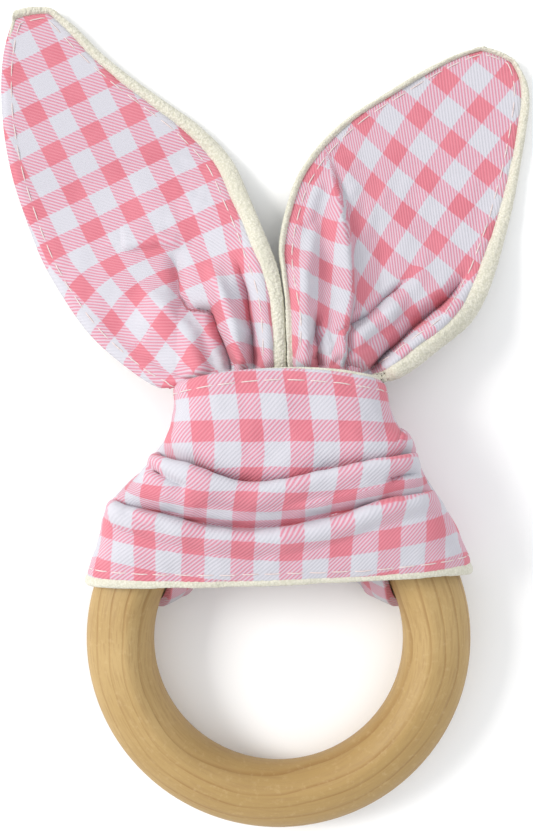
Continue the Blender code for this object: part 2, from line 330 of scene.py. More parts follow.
class Nodes:
    """Short calls that add nodes to one material."""

    def __init__(self, name):
        self.material = bpy.data.materials.new(name)
        self.material.use_nodes = True
        self.tree = self.material.node_tree
        self.shader = self.tree.nodes["Principled BSDF"]

    def join(self, value, socket):
        if isinstance(value, bpy.types.NodeSocket):
            self.tree.links.new(value, socket)
        elif value is not None:
            socket.default_value = value

    def add(self, kind, inputs, **settings):
        """The outputs of a new node, whose inputs take other nodes' outputs or constants."""
        node = self.tree.nodes.new("ShaderNode" + kind)
        for name, value in settings.items():
            setattr(node, name, value)
        for name, value in inputs.items():
            self.join(value, node.inputs[name])
        return node.outputs

    def math(self, operation, a, b=None):
        return self.add("Math", {0: a, 1: b}, operation=operation)[0]

    def plus(self, a, b):
        return self.math("ADD", a, b)

    def minus(self, a, b):
        return self.math("SUBTRACT", a, b)

    def times(self, a, b):
        return self.math("MULTIPLY", a, b)

    def vector(self, operation, a, b):
        second = "Scale" if operation == "SCALE" else 1
        return self.add("VectorMath", {0: a, second: b}, operation=operation)[0]

    def noise(self, where, scale, detail=2.0, rough=0.5):
        inputs = {"Vector": where, "Scale": scale, "Detail": detail, "Roughness": rough}
        return self.add("TexNoise", inputs)["Fac"]

    def stray(self, where, scale, detail, size):
        """A small offset that changes from place to place."""
        either_way = self.vector("SUBTRACT", self.noise(where, scale, detail), (0.5, 0.5, 0.5))
        return self.vector("SCALE", either_way, size)

    def cells(self, where, scale):
        return self.add("TexVoronoi", {"Vector": where, "Scale": scale})["Distance"]

    def step(self, value, low, high, to_low=0.0, to_high=1.0):
        inputs = {"Value": value, "From Min": low, "From Max": high, "To Min": to_low, "To Max": to_high}
        return self.add("MapRange", inputs, interpolation_type="SMOOTHSTEP")["Result"]

    def colour(self, share, a, b):
        """Colour a where the share is 0, and b where it is 1."""
        a, b = ((*c, 1.0) if isinstance(c, tuple) else c for c in (a, b))
        return self.add("Mix", {0: share, 6: a, 7: b}, data_type="RGBA")[2]

    def bump(self, height, distance, strength):
        inputs = {"Height": height, "Distance": distance, "Strength": strength}
        return self.add("Bump", inputs)["Normal"]

    def split(self, where):
        return self.add("SeparateXYZ", {0: where})[:3]

    def cut(self):
        return self.add("UVMap", {}, uv_map="cut")["UV"]

    def place(self):
        return self.add("TexCoord", {})["Object"]

    def done(self, colour, rough, normal, sheen=0.0, specular=0.3):
        self.join(colour, self.shader.inputs["Base Color"])
        self.join(rough, self.shader.inputs["Roughness"])
        self.join(normal, self.shader.inputs["Normal"])
        self.shader.inputs["Sheen Weight"].default_value = sheen
        self.shader.inputs["Sheen Roughness"].default_value = 0.6
        self.shader.inputs["Specular IOR Level"].default_value = specular
        return self.material


PINK = (0.615, 0.178, 0.226)
PINK_DEEP = (0.575, 0.152, 0.198)
PINK_GROOVE = (0.76, 0.34, 0.39)
PINK_RIB = (0.62, 0.2, 0.34)  # where one pink stripe runs alone
WHITE = (0.56, 0.55, 0.60)
# painted shade of the white yarn down in the twill's grooves
WHITE_GROOVE_SHADE = (0.505, 0.50, 0.55)
WHITE_RIB = (0.62, 0.44, 0.515)
STRIPE = 0.235  # half of a pink stripe, as a share of the repeat
STRIPE_EDGE = 0.012
TWILL_PITCH = 0.58
TWILL_ANGLE = math.radians(46)


def gingham_twill():
    """Yarn-dyed gingham in a twill weave: pink where stripes cross, pink and white ribs along each."""
    n = Nodes("gingham_twill")
    cut = n.cut()
    drift = n.stray(cut, 1.3, 2.0, 0.05)
    fuzz = n.stray(cut, 24.0, 1.0, 0.035)
    x, y, _ = n.split(n.vector("ADD", n.vector("ADD", cut, drift), fuzz))
    stripes = []
    for value in (x, y):
        off = n.math("ABSOLUTE", n.minus(n.math("FRACT", n.plus(value, 0.5)), 0.5))
        stripes.append(n.step(off, STRIPE + STRIPE_EDGE, STRIPE - STRIPE_EDGE))
    both = n.times(*stripes)
    either = n.math("MAXIMUM", *stripes)
    ribs = CHECK / TWILL_PITCH
    rising = n.times(y, math.cos(TWILL_ANGLE) * ribs)
    phase = n.minus(rising, n.times(x, math.sin(TWILL_ANGLE) * ribs))
    ridge = n.minus(1.0, n.math("ABSOLUTE", n.times(n.minus(n.math("FRACT", phase), 0.5), 2.0)))
    line = n.step(ridge, 0.25, 0.72)
    groove = n.minus(1.0, line)
    yarn = n.noise(cut, 60.0, 1.0)
    thread = n.times(either, n.times(line, n.step(yarn, 0.2, 0.6, 0.55, 0.82)))
    pink = n.colour(n.step(n.noise(cut, 0.8, 3.0), 0.35, 0.65), PINK, PINK_DEEP)
    pink = n.colour(n.times(groove, 0.26), pink, PINK_GROOVE)
    pink = n.colour(n.times(n.minus(1.0, both), 0.3), pink, PINK_RIB)
    # painted shade: the white is darker in the twill's grooves
    white = n.colour(n.times(groove, 0.25), WHITE, WHITE_GROOVE_SHADE)
    white = n.colour(n.times(either, 0.7), white, WHITE_RIB)
    colour = n.colour(n.math("MAXIMUM", both, thread), white, pink)
    normal = n.bump(n.plus(ridge, n.times(yarn, 0.8)), 0.00009, 0.8)
    return n.done(colour, n.step(yarn, 0.2, 0.8, 0.78, 0.95), normal, sheen=0.12, specular=0.2)


TERRY_LIGHT = (0.70, 0.675, 0.58)
TERRY_DARK = (0.64, 0.615, 0.52)
TERRY_GAP_SHADE = (0.58, 0.56, 0.455)  # painted shade between the loops


def terry_towelling():
    """Cream loop pile."""
    n = Nodes("terry_towelling")
    where = n.place()
    loops = n.cells(where, 2500.0)
    tone = n.noise(where, 160.0, 3.0)
    colour = n.colour(n.step(tone, 0.35, 0.7), TERRY_LIGHT, TERRY_DARK)
    # painted shade: the terry is darker between its loops
    colour = n.colour(n.step(loops, 0.25, 0.75), colour, TERRY_GAP_SHADE)
    normal = n.bump(n.minus(1.0, loops), 0.00016, 0.7)
    return n.done(colour, n.step(tone, 0.3, 0.7, 0.9, 1.0), normal, sheen=0.25, specular=0.1)


THREAD_LIGHT = (0.72, 0.62, 0.60)
THREAD_DARK = (0.64, 0.52, 0.51)


def sewing_thread():
    """Spun polyester thread, a little twisted."""
    n = Nodes("sewing_thread")
    twist = n.noise(n.place(), 2600.0, 1.0)
    colour = n.colour(n.step(twist, 0.3, 0.7), THREAD_LIGHT, THREAD_DARK)
    return n.done(colour, n.step(twist, 0.3, 0.7, 0.5, 0.65), n.bump(twist, 0.00005, 0.6), specular=0.35)


WOOD_PALE = (0.475, 0.325, 0.14)
WOOD_DEEP = (0.385, 0.25, 0.092)
WOOD_LATE = (0.30, 0.17, 0.055)  # of the growth lines
WOOD_FIBRE = (0.34, 0.21, 0.083)
WOOD_FLECK = (0.58, 0.43, 0.23)
GROWTH_LINES = 0.36  # to the millimetre
GROWTH_WANDER = 8.0
GROWTH_SLOPE = -260.0  # millimetres that a line moves out for each metre of height


def turned_wood():
    """Bare pale hardwood, sanded, with growth lines that follow the ring and a faint fleck."""
    n = Nodes("turned_wood")
    where = n.place()
    x, y, z = n.split(n.vector("SUBTRACT", where, tuple(TURN["pos_m"])))
    from_axis = n.math("SQRT", n.plus(n.times(x, x), n.times(y, y)))
    radius = n.plus(n.times(from_axis, 1 / MM), n.times(n.noise(where, 20.0, 2.5), GROWTH_WANDER))
    level = n.plus(radius, n.times(z, GROWTH_SLOPE))
    rings = n.math("FRACT", n.times(level, GROWTH_LINES))
    late = n.times(n.step(rings, 0.78, 0.95), n.step(rings, 1.0, 0.97))
    along = n.times(n.math("ARCTAN2", y, x), 0.0016)
    fibre = n.noise(n.add("CombineXYZ", {0: from_axis, 1: along, 2: z})[0], 2600.0, 3.0, 0.6)
    grain = n.noise(where, 900.0, 3.0, 0.6)
    # the wood is darker towards the foot of the ring
    darker = n.plus(n.noise(where, 45.0, 2.0), n.times(y, -9.0))
    colour = n.colour(n.step(darker, 0.35, 0.8), WOOD_PALE, WOOD_DEEP)
    strong = n.step(n.noise(where, 60.0, 2.0), 0.3, 0.65, 0.35, 0.9)
    colour = n.colour(n.times(late, strong), colour, WOOD_LATE)
    colour = n.colour(n.step(fibre, 0.42, 0.72, 0.0, 0.62), colour, WOOD_FIBRE)
    colour = n.colour(n.step(grain, 0.5, 0.8, 0.0, 0.3), colour, WOOD_FLECK)
    height = n.plus(n.times(late, -0.6), n.times(fibre, 0.5))
    return n.done(colour, n.step(grain, 0.3, 0.7, 0.48, 0.62), n.bump(height, 0.00012, 0.5), specular=0.35)


# ---------- the ring

RING_STEPS = 240
WOOD_STEPS = 72
RIDGE_PLACE = -0.22  # where the wood's faces are highest, from -1 at the hole to 1 at the outside
RIDGE = 1.5


def tilted(x, y, z):
    """Points of the level ring, carried to where the tilted ring has them."""
    c, s = math.cos(RING_TILT), math.sin(RING_TILT)
    return stack(x, y * c - z * s, y * s + z * c + RING_CENTRE[2])


def by_wood(around, round_wood, reach):
    """Points beside the wood: degrees round the ring from +Y to the left, degrees round the wood from its
    outer side over the front, and their distance from the middle of the wood."""
    phi, psi = np.radians(around), np.radians(round_wood)
    r = RING_RADIUS + reach * np.cos(psi)
    return tilted(-r * np.sin(phi), r * np.cos(phi), reach * np.sin(psi))


def ring_piece(coat):
    turn = np.linspace(0, 2 * math.pi, RING_STEPS, endpoint=False)[:, None]
    angle = np.linspace(0, 2 * math.pi, WOOD_STEPS, endpoint=False)[None]
    out = np.cos(angle)
    from_ridge = np.maximum((out - RIDGE_PLACE) / (1 - RIDGE_PLACE), (RIDGE_PLACE - out) / (1 + RIDGE_PLACE))
    up = np.sign(np.sin(angle)) * np.sqrt(np.clip(1 - from_ridge**RIDGE, 0, 1))
    # the hand sanding leaves the turned faces very slightly uneven
    uneven = 1 + 0.004 * np.sin(3 * turn + 1.0) + 0.003 * np.sin(7 * turn + 2.0)
    r = RING_RADIUS + out * WOOD_WIDE / 2
    z = up * WOOD_THICK / 2 * uneven
    points = tilted(r * np.cos(turn), r * np.sin(turn), z).reshape(-1, 3)
    faces = []
    for i in range(RING_STEPS):
        a, b = i * WOOD_STEPS, (i + 1) % RING_STEPS * WOOD_STEPS
        for k in range(WOOD_STEPS):
            t = (k + 1) % WOOD_STEPS
            faces.append((a + k, b + k, b + t, a + t))
    return finish_piece("turned_ring", make_mesh("turned_ring", points, faces), coat)


# ---------- the strip's middle


def band(u, v):
    """The band across the front before its folds, from its left fold to its right, lower edge up."""
    left, right = spline(BAND_LEFT, v), spline(BAND_RIGHT, v)
    low, high = spline(BAND_SIDE_Z, v), spline(BAND_FRONT_Z, v)
    power = 2 / spline(BAND_SQUARENESS, v)
    angle = math.pi * (1 - u)
    across = np.sign(np.cos(angle)) * np.abs(np.cos(angle)) ** power
    rise = np.clip(np.sin(angle), 0, 1) ** power
    middle = mix(left, right, ((across + 1) / 2)[..., None])
    bow = (BAND_TOP_BOW * v**3 - BAND_LOW_BOW * (1 - v) ** 3) * (1 - across**2)
    return stack(middle[..., 0], middle[..., 1] + bow, mix(low, high, rise))


BACK = 1.0  # height of the middle of the strip behind the ring, about
LYING = 0.9  # and its least


def wrap(side, u, v):
    """The strip behind the ring, from a fold of the band to the hole, for side 1 (left) or -1."""
    start = spline(BAND_LEFT if side > 0 else BAND_RIGHT, v)
    top = spline(BAND_SIDE_Z, v)
    behind = by_wood(side * mix(64.0, 6.0, v), 262.0, 0.0)
    x, y = start[:, 0], start[:, 1]
    path = np.stack([
        stack(x, y, top),
        stack(x + side * 0.6, y - 0.4, mix(top, BACK, 0.55)),
        stack(x + side * mix(4.5, 4.0, v), y - mix(1.2, 2.4, v), BACK + 0.3 + 0 * v),
        stack(mix(x, behind[:, 0], 0.55), mix(y, behind[:, 1], 0.5) - mix(2.0, 1.0, v), BACK - 0.6 + 0 * v),
        stack(behind[:, 0] + side * 1.5, behind[:, 1] - 1.0, BACK - 0.3 + 0 * v),
        by_wood(side * mix(74.0, 1.2, v), 246.0, 9.0),
        by_wood(side * mix(75.0, 1.2, v), mix(236.0, 213.0, ease(v / 0.22)), 9.4),
    ])
    place = spline(path, u)
    place[:, 2] = np.maximum(place[:, 2], LYING)
    return place


BAND_COLUMNS = 210
WRAP_COLUMNS = 60
BAND_LEVELS = 90  # at which the band is worked out before it is folded
SWAG_ROWS = 44  # of points in each fold, and in the plain cloth above and below the two
SLACK_ROWS = 12  # in the slack between them
OPEN_PART = (20, WRAP_COLUMNS + BAND_COLUMNS // 2)  # a place at the top of the band's middle


def swag_rows():
    """Each row's distance down the band, height and hidden cloth, for every column of the band."""
    c = np.linspace(0, 1, BAND_COLUMNS)
    from_side = np.minimum(c, 1 - c)
    length = run_length(band(0 * c, c), 0)[-1]
    fold_1, fold_2 = ((1 - spline(line, c)) * length for line, _ in (UPPER_SWAG, LOWER_SWAG))
    depth_1, depth_2 = (spline(depth, c) for _, depth in (UPPER_SWAG, LOWER_SWAG))
    fade = ease(from_side / 0.1)
    relief = ease((from_side - 0.06) / 0.12)
    tight = np.minimum(1, (fold_2 - fold_1) / SWAG_ROOM)
    section = np.array(SWAG_SECTION)
    first, last = section[0, 0], section[-1, 0]
    hidden = spline(STRIP_WIDE, c) - length
    upper, slack, lower = (hidden * share for share in SWAG_SHARES)
    rows = []

    def plain(start, end, count, taken):
        for t in np.arange(count) / count:
            rows.append((mix(start, end, t), 0 * c, taken))

    def fold(place, depth, taken, more):
        for t in np.arange(SWAG_ROWS) / SWAG_ROWS:
            down, high = spline(section, t)
            down = place + mix(mix(first, last, t), down, fade) * tight
            rows.append((down, high * depth * relief * SWAG_DEPTH, taken + more * ease((t - 0.33) / 0.27)))

    plain(0 * c, fold_1 + first * tight, SWAG_ROWS, 0 * c)
    fold(fold_1, depth_1, 0 * c, upper)
    plain(fold_1 + last * tight, fold_2 + first * tight, SLACK_ROWS, upper)
    fold(fold_2, depth_2, upper, lower)
    plain(fold_2 + last * tight, length + 0 * c, SWAG_ROWS, upper + lower)
    rows.append((length + 0 * c, 0 * c, upper + lower))
    down, high, taken = (np.array(x) for x in zip(*rows))
    down = np.clip(down, 0, length)
    # the slack just above the lower fold takes up cloth in a soft roll
    taken = taken + slack * ease((down - (fold_2 - 4.0)) / 3.6)
    return down, high, mix(hidden * down / length, taken, fade), length


def even_columns(dense, count):
    """Points evenly spaced along each line of a grid."""
    share = np.linspace(0, 1, count)
    return np.stack([between(share * far[-1], far, line) for far, line in zip(run_length(dense, 1), dense)])


def band_share():
    """How far across the band each column of the strip's middle lies, from its left fold to its right."""
    columns = np.arange(BAND_COLUMNS + 2 * (WRAP_COLUMNS - 1))
    return np.clip((columns - WRAP_COLUMNS) / BAND_COLUMNS, 0, 1)


def strip_middle():
    """The grid of the strip's middle behind and across the ring, the same before the band is folded, the
    normals of that, and each point's place on the cut cloth."""
    down, high, taken, length = swag_rows()
    v = 1 - down / length
    columns = range(BAND_COLUMNS)
    levels = np.linspace(0, 1, BAND_LEVELS)
    fine = np.linspace(0, 1, 500)
    base = even_columns(np.stack([band(fine, level + 0 * fine) for level in levels]), BAND_COLUMNS)
    up = upward(base, (BAND_LEVELS // 2, BAND_COLUMNS // 2))
    plain = np.stack([between(v[:, j], levels, base[:, j]) for j in columns], 1)
    lift = np.stack([between(v[:, j], levels, up[:, j]) for j in columns], 1)
    front = plain + lift * high[..., None]
    for crease in BAND_CREASES:
        front = front + lift * stroke(front[..., 0], front[..., 1], *crease)[..., None]
    across = run_length(base, 1)
    from_middle = across - across[:, BAND_COLUMNS // 2, None]
    place = np.stack([np.interp(v[:, j], levels, from_middle[:, j]) for j in columns], 1)
    u = np.linspace(0, 1, WRAP_COLUMNS * 4)
    left, right = (
        even_columns(np.stack([wrap(side, u, row + 0 * u) for row in v[:, column]]), WRAP_COLUMNS)
        for side, column in ((1, 0), (-1, -1))
    )
    grid, plain = (np.concatenate([left[:, :0:-1], sheet, right[:, 1:]], 1) for sheet in (front, plain))
    plain_out = upward(plain, OPEN_PART)
    plain_out[:, WRAP_COLUMNS - 1 : WRAP_COLUMNS - 1 + BAND_COLUMNS] = lift
    along = np.concatenate([
        place[:, :1] - run_length(left, 1)[:, :0:-1], place, place[:, -1:] + run_length(right, 1)[:, 1:],
    ], 1)
    both_wraps = ((0, 0), (WRAP_COLUMNS - 1, WRAP_COLUMNS - 1))
    down, taken = (np.pad(rows, both_wraps, mode="edge") for rows in (down, taken))
    column = along - spline(COLUMN_LEAN, 1 - down / length)
    row = down + taken - spline(FIRST_ROW, band_share())
    return grid, plain, plain_out, stack(column / CHECK, -row / CHECK)


EDGE_ROLL = 0.7  # width over which a sewn edge of gingham turns down
LOOPS = 0.17  # height of the terry's loops
TERRY_SUNK = 0.15  # depth of the terry's face below the gingham
TERRY_EDGE = 0.35  # its thickness at its very edge
TERRY_PUSH = 1.2  # width of it that is pushed out past the gingham


def rolled(gap, radius):
    """Rise of an edge rolled to a radius, at a distance from it."""
    return np.sqrt(np.clip(1 - ((gap - radius) / radius) ** 2, 0, 1)) * (gap < 2 * radius)


def gingham_layer(name, grid, out, from_edge, turn, cut, coat):
    """Gingham on a grid, whose sewn edge turns down by a depth."""
    turned = (turn * fall_off(from_edge, EDGE_ROLL))[..., None]
    return cloth_piece(name, grid + out * (CHECK_THICK - turned), grid - out * turned * 0.9, cut, coat)


def middle_gingham(grid, cut, coat):
    """The band and both wraps as one sheet of gingham, and their grid with the cloth's small waves."""
    small = 0.22 * waves(grid * (1, 1.6, 1), 7.0, 1) + 0.1 * waves(grid, 2.6, 2)
    grid = grid + upward(grid, OPEN_PART) * small[..., None]
    out = upward(grid, OPEN_PART)
    gingham = gingham_layer("strip_gingham", grid, out, np.minimum(*from_edges(grid)), 0.55, cut, coat)
    fit(gingham, "knot", "gingham", "band_gingham", "left_wrap_gingham", "right_wrap_gingham")
    return grid, out


def middle_terry(grid, out, plain, plain_out, cut, coat):
    """The terry under it, which passes behind its swags and shows past its edges."""
    from_top, from_foot = from_edges(grid)
    edge = np.minimum(from_top, from_foot)
    inside = ease((edge - 1.5) / 5.0)[..., None]
    core = mix(grid, plain - plain_out * CORE_DEPTH, inside)
    core_out = mix(out, plain_out, inside)
    loops = pile(core, 0.5, 9)
    away = np.gradient(grid, axis=0)
    away /= np.maximum(np.linalg.norm(away, axis=-1, keepdims=True), 1e-9)
    top_lip = UPPER_LIP * ease((np.linspace(0, 1, grid.shape[1]) - 0.4) / 0.25)
    foot_lip = spline(LOWER_LIP, band_share())
    past = foot_lip * fall_off(from_foot, TERRY_PUSH) - top_lip * fall_off(from_top, TERRY_PUSH)
    push = away * past[..., None]
    shown = from_foot < 2 * EDGE_ROLL
    high = 0.55 * rolled(from_foot, EDGE_ROLL) - TERRY_SUNK + LOOPS * shown * loops
    front = core + push + core_out * high[..., None]
    thick = TERRY_EDGE + 0.9 * np.sqrt(np.clip(edge / TERRY_PUSH, 0, 1)) + LOOPS * loops
    terry = cloth_piece("strip_terry", front, core + push * 0.9 - core_out * thick[..., None], cut, coat)
    fit(terry, "knot", "terry", "band_terry", "left_wrap_terry", "right_wrap_terry")


BAND_STITCH_INSET = 2.2  # from the sewn edge
STITCH_FREE = 6  # columns of the band at each side without stitches


def band_stitches(grid, out, coat):
    """The topstitching along the band's two edges."""
    for name, from_edge in zip(("upper", "lower"), from_edges(grid)):
        path, up = [], []
        for j in range(WRAP_COLUMNS + STITCH_FREE, WRAP_COLUMNS + BAND_COLUMNS - STITCH_FREE):
            order = np.argsort(from_edge[:, j])
            known = from_edge[order, j]
            path.append(between(BAND_STITCH_INSET, known, grid[order, j]))
            up.append(between(BAND_STITCH_INSET, known, out[order, j]))
        path, up = np.array(path), np.array(up)
        stitches = stitch_piece("band_" + name + "_stitches", path + up * CHECK_THICK, up, coat)
        fit(stitches, "knot", "thread", "band_" + name + "_topstitch")


# ---------- the ears


EAR_START = -0.08  # of an ear's length, under the band

# The right side of the left ear's pouch, from the neck up, and how the checks lie on it: where one pink
# square is, its count of columns and rows, and the steps to the next square of its row and of its column.
LEFT_POUCH = [
    (-8.9, 48.4), (-9.6, 51.5), (-11.3, 56.6), (-12.7, 59.3), (-17.1, 59.8), (-18.7, 62.6), (-18.7, 65.4),
    (-19.4, 68.2),
]
POUCH_SQUARE = (-20.6, 57.0)
POUCH_COUNT = (1, 7)
POUCH_NEXT = ((4.0, 5.5), (5.56, -6.19))
POUCH_TOP = 72.0  # up the ear, where those checks give way to the rest
POUCH_FADE = 12.0  # over this height
LEFT_FOLDS = [
    # the pouch of cloth at the lower left, and the deep crease on its right
    ([(-14.0, 47.0), (-16.5, 55.0), (-20.5, 60.0), (-27.0, 63.0)], 3.4, 7.0, 2.6),
    (
        [(-8.3, 48.4), (-9.0, 51.5), (-10.7, 56.6), (-12.3, 60.0), (-15.2, 60.3), (-17.6, 61.0)],
        -3.4, 0.9, 1.1,
    ),
    ([(-16.8, 60.6), (-18.5, 63.2), (-18.7, 66.5), (-20.0, 72.0)], -1.5, 1.3, 1.3),
    ([(-6.6, 49.0), (-7.6, 56.0), (-9.8, 62.0), (-13.0, 69.0)], 3.0, 1.2, 1.6),
    ([(-4.4, 49.0), (-4.9, 56.0), (-5.9, 63.0), (-7.6, 71.0)], -3.2, 1.1, 1.0),
    ([(-1.9, 49.0), (-2.3, 57.0), (-3.3, 66.0), (-6.0, 77.0)], 1.8, 1.7, 1.8),
    ([(-29.0, 72.5), (-22.0, 73.4), (-15.0, 72.4)], 1.3, 2.6, 0.9),
]
# The fold whose left side laps over the cloth on its right, and how the checks lie on that flap: where one
# pink square is, the repeat across and down, and how much lower each next column lies.
RIGHT_FLAP = [(11.0, 49.0), (11.4, 55.0), (12.8, 63.5), (12.5, 72.2), (11.3, 81.0), (8.2, 91.5)]
FLAP_SQUARE = (2.3, 77.5)
FLAP_REPEAT = (6.8, 8.1)
FLAP_DROP = 2.5
FLAP_ROW = 5  # that square's row, counted as on the rest of the ear
FLAP_TURN = 0.9  # width of cloth that turns down into the fold at the flap's edge
# The pleat on the other side of that fold, from the fold outwards, and the cloth it takes up near the fold.
RIGHT_PLEAT = [(11.9, 57.0), (16.0, 59.0), (19.5, 62.5), (24.5, 66.5), (29.9, 69.5)]
PLEAT_TAKEN = 10.9
RIGHT_FOLDS = [
    ([(4.6, 49.0), (4.2, 57.0), (4.6, 66.0), (6.0, 76.0)], 2.4, 1.8, 1.4),
    ([(7.0, 49.0), (6.6, 54.0), (6.2, 60.0)], -2.4, 1.1, 1.1),
    (RIGHT_FLAP, 2.6, 2.6, 0.6),
    (RIGHT_PLEAT[:-1], -2.4, 0.7, 1.6),
    ([(13.5, 49.5), (15.0, 54.5), (19.0, 59.0), (25.0, 63.0)], 2.6, 2.6, 2.2),
    ([(15.8, 48.5), (19.5, 52.8), (24.5, 57.2), (31.0, 62.5), (36.0, 68.5)], -4.7, 1.1, 1.1),
    ([(19.0, 48.5), (25.0, 54.0), (31.0, 59.0), (36.0, 64.5)], 2.6, 1.6, 2.5),
]
# How the checks lie on the rest of each ear, at whose neck they close up, bend, slant and move across: x at
# the neck, the strip's angle, the repeat, the column and row at the neck, and how far up those changes reach.
LIE_Y = 49.1
LEFT_LIE = {
    "origin": -7.3, "angle": 116.9, "repeat": 8.2, "column": 2.51, "row": 8.34,
    "close": 1.274, "bend": 0.0434, "slant": 0.413, "shift": 1.1, "reach": 35.0,
}
RIGHT_LIE = {
    "origin": 9.55, "angle": 50.7, "repeat": 8.36, "column": 4.1, "row": 7.68,
    "close": 0.52, "bend": -0.0161, "slant": 0.122, "shift": -4.47, "reach": 55.0,
}
# Width of terry that shows past the gingham, from the neck to the tip, at the ear's left and right edges.
LEFT_LIPS = ([0.0, 0.0, 0.0, 0.0, 0.0, 0.0, 0.3], [1.9, 2.1, 2.5, 2.7, 2.2, 1.7, 1.4])
RIGHT_LIPS = ([0.4, 0.4, 0.5, 0.7, 0.8, 0.8, 1.0], [2.6, 2.9, 2.8, 2.0, 1.2, 1.1, 1.2])


class Ear:
    """One ear: its two edges, its folds, how the checks lie on it, and where its terry shows."""

    def __init__(self, left, right, outer_left, folds, cut, lips):
        self.left, self.right = left, right
        self.low, self.high = sorted((left[0][0], right[0][0]))
        self.centre = self.high if outer_left else self.low
        self.folds = folds
        self.cut = cut
        self.lips = lips
        self.settled = settle(self.modelled)

    def surface(self, u, v):
        """Points of the ear for u from below 0, under the band, to 1 at the tip, and v across it."""
        points = self.modelled(u, v)
        if self.settled is not None:
            points = points + at_share(self.settled, u, v)
        points[..., 2] = np.maximum(points[..., 2], FLOOR_Z)
        return points

    def modelled(self, u, v):
        """The same before the cloth has settled."""
        inside = np.clip(u, 0, 1)
        a, b = spline(self.left, inside), spline(self.right, inside)
        across = (b - a) / np.linalg.norm(b - a, axis=-1, keepdims=True)
        place = mix(a, b, v[..., None])
        bow = EAR_TIP_BOW * inside**4 * 4 * v * (1 - v)
        x, y = place[..., 0] - across[..., 1] * bow, place[..., 1] + across[..., 0] * bow
        y = y + np.minimum(u, 0) / EAR_START * -EAR_BELOW
        far = np.hypot(x - np.clip(x, self.low, self.high), np.maximum(y - EAR_Y, 0))
        neck = NECK_Z - NECK_DROP * np.minimum(np.abs(x - self.centre) / (self.high - self.low), 1.0) ** 2
        z = mix(neck, FLOOR_Z, ease(far / EAR_DROP_LENGTH))
        for points, height, before, after in self.folds:
            z = z + stroke(x, y, points, height, before, after)
        flat = stack(x, y, 0)
        z = z + 0.35 * waves(flat, 11.0, 4) * ease(far / 6) + 0.1 * waves(flat, 3.2, 5)
        return stack(x, y, np.maximum(z, FLOOR_Z))

    def cut_at(self, u, v):
        """The place of its points on the cut cloth, in repeats of the check."""
        x, y, _ = np.moveaxis(self.modelled(u, v), -1, 0)
        return self.cut(x, y)

    def wide(self, u):
        return np.linalg.norm(spline(self.right, u) - spline(self.left, u), axis=-1)

    def shown(self, u):
        """Widths of terry past the gingham at its left and right edges."""
        return [spline(lip, u) for lip in self.lips]


def lie_cut(x, y, origin, angle, repeat, column, row, close, bend, slant, shift, reach):
    """The place on the cut cloth, in repeats of the check, of points of an ear seen from the front."""
    dx, dy = x - origin, y - LIE_Y
    c, s = math.cos(math.radians(angle)), math.sin(math.radians(angle))
    out, across = dx * c + dy * s, dx * s - dy * c
    near = np.clip(1 - out / reach, 0, 1.3) ** 2
    columns = (across + shift * near) * (1 + close * near) / repeat + column
    rows = row - (out + bend * across**2 * near + slant * across * near) / repeat
    return stack(-rows, -columns)


def lapped(edge, x, y):
    """1 to the left of a fold's edge, a line of points up the ear, and 0 past the cloth that turns down."""
    fold_x, fold_y = np.transpose(edge)
    return ease((np.interp(y, fold_y, fold_x) + FLAP_TURN - x) / FLAP_TURN)


def left_cut(x, y):
    """How the checks lie on the left ear: its pouch hides cloth under its right side."""
    across, along = np.linalg.inv(np.transpose(POUCH_NEXT))
    dx, dy = x - POUCH_SQUARE[0], y - POUCH_SQUARE[1]
    columns = across[0] * dx + across[1] * dy + POUCH_COUNT[0]
    rows = along[0] * dx + along[1] * dy + POUCH_COUNT[1]
    share = lapped(LEFT_POUCH, x, y) * ease((POUCH_TOP - y) / POUCH_FADE)
    return mix(lie_cut(x, y, **LEFT_LIE), stack(-rows, -columns), share[..., None])


def right_cut(x, y):
    """How the checks lie on the right ear: its flap and its pleat hide cloth."""
    share = lapped(RIGHT_FLAP, x, y) * ease(RIGHT_FLAP[-1][1] + 0.5 - y)
    return mix(lie_cut(x, y - pleat_taken(x, y), **RIGHT_LIE), flap_cut(x, y), share[..., None])


def pleat_taken(x, y):
    """How much cloth the right ear's pleat has taken up, above a place below it."""
    pleat_x, pleat_y = np.transpose(RIGHT_PLEAT)
    soft = mix(0.4, 2.5, ease((x - 14.0) / 12.0))
    below = ease((np.interp(x, pleat_x, pleat_y) + soft - y) / (2 * soft))
    return PLEAT_TAKEN * np.clip((RIGHT_PLEAT[-1][0] - x) / 15.0, 0, 1.2) * below


def flap_cut(x, y):
    """The place on the cut cloth of the right ear's flap, whose columns close up towards the neck and bend
    at the top."""
    near = np.clip((80.0 - y) / 30.0, 0, 1) ** 2
    bend = 0.016 * np.maximum(y - 70.0, 0) ** 2
    columns = (x - FLAP_SQUARE[0] - bend) / (FLAP_REPEAT[0] * (1 - 0.45 * near))
    rows = (FLAP_SQUARE[1] - y - FLAP_DROP * columns) / FLAP_REPEAT[1] + FLAP_ROW
    return stack(-rows, -columns)


SETTLE_ROWS = 60
SETTLE_COLUMNS = 28
SETTLE_FRAMES = 24
SETTLE_SCALE = 0.01  # the simulated cloth is ten times full size, which suits the solver's own limits
SETTLE_SPARE = 0.16  # cloth to spare across the neck, as a share, which has to buckle into small folds
SETTLE_CAP = 1.3  # the furthest that a place may move
SETTLE_CLOTH = {
    "quality": 8, "mass": 0.12, "tension_stiffness": 20, "compression_stiffness": 20, "shear_stiffness": 8,
    "bending_stiffness": 0.08, "air_damping": 3.0, "pin_stiffness": 2.0,
}


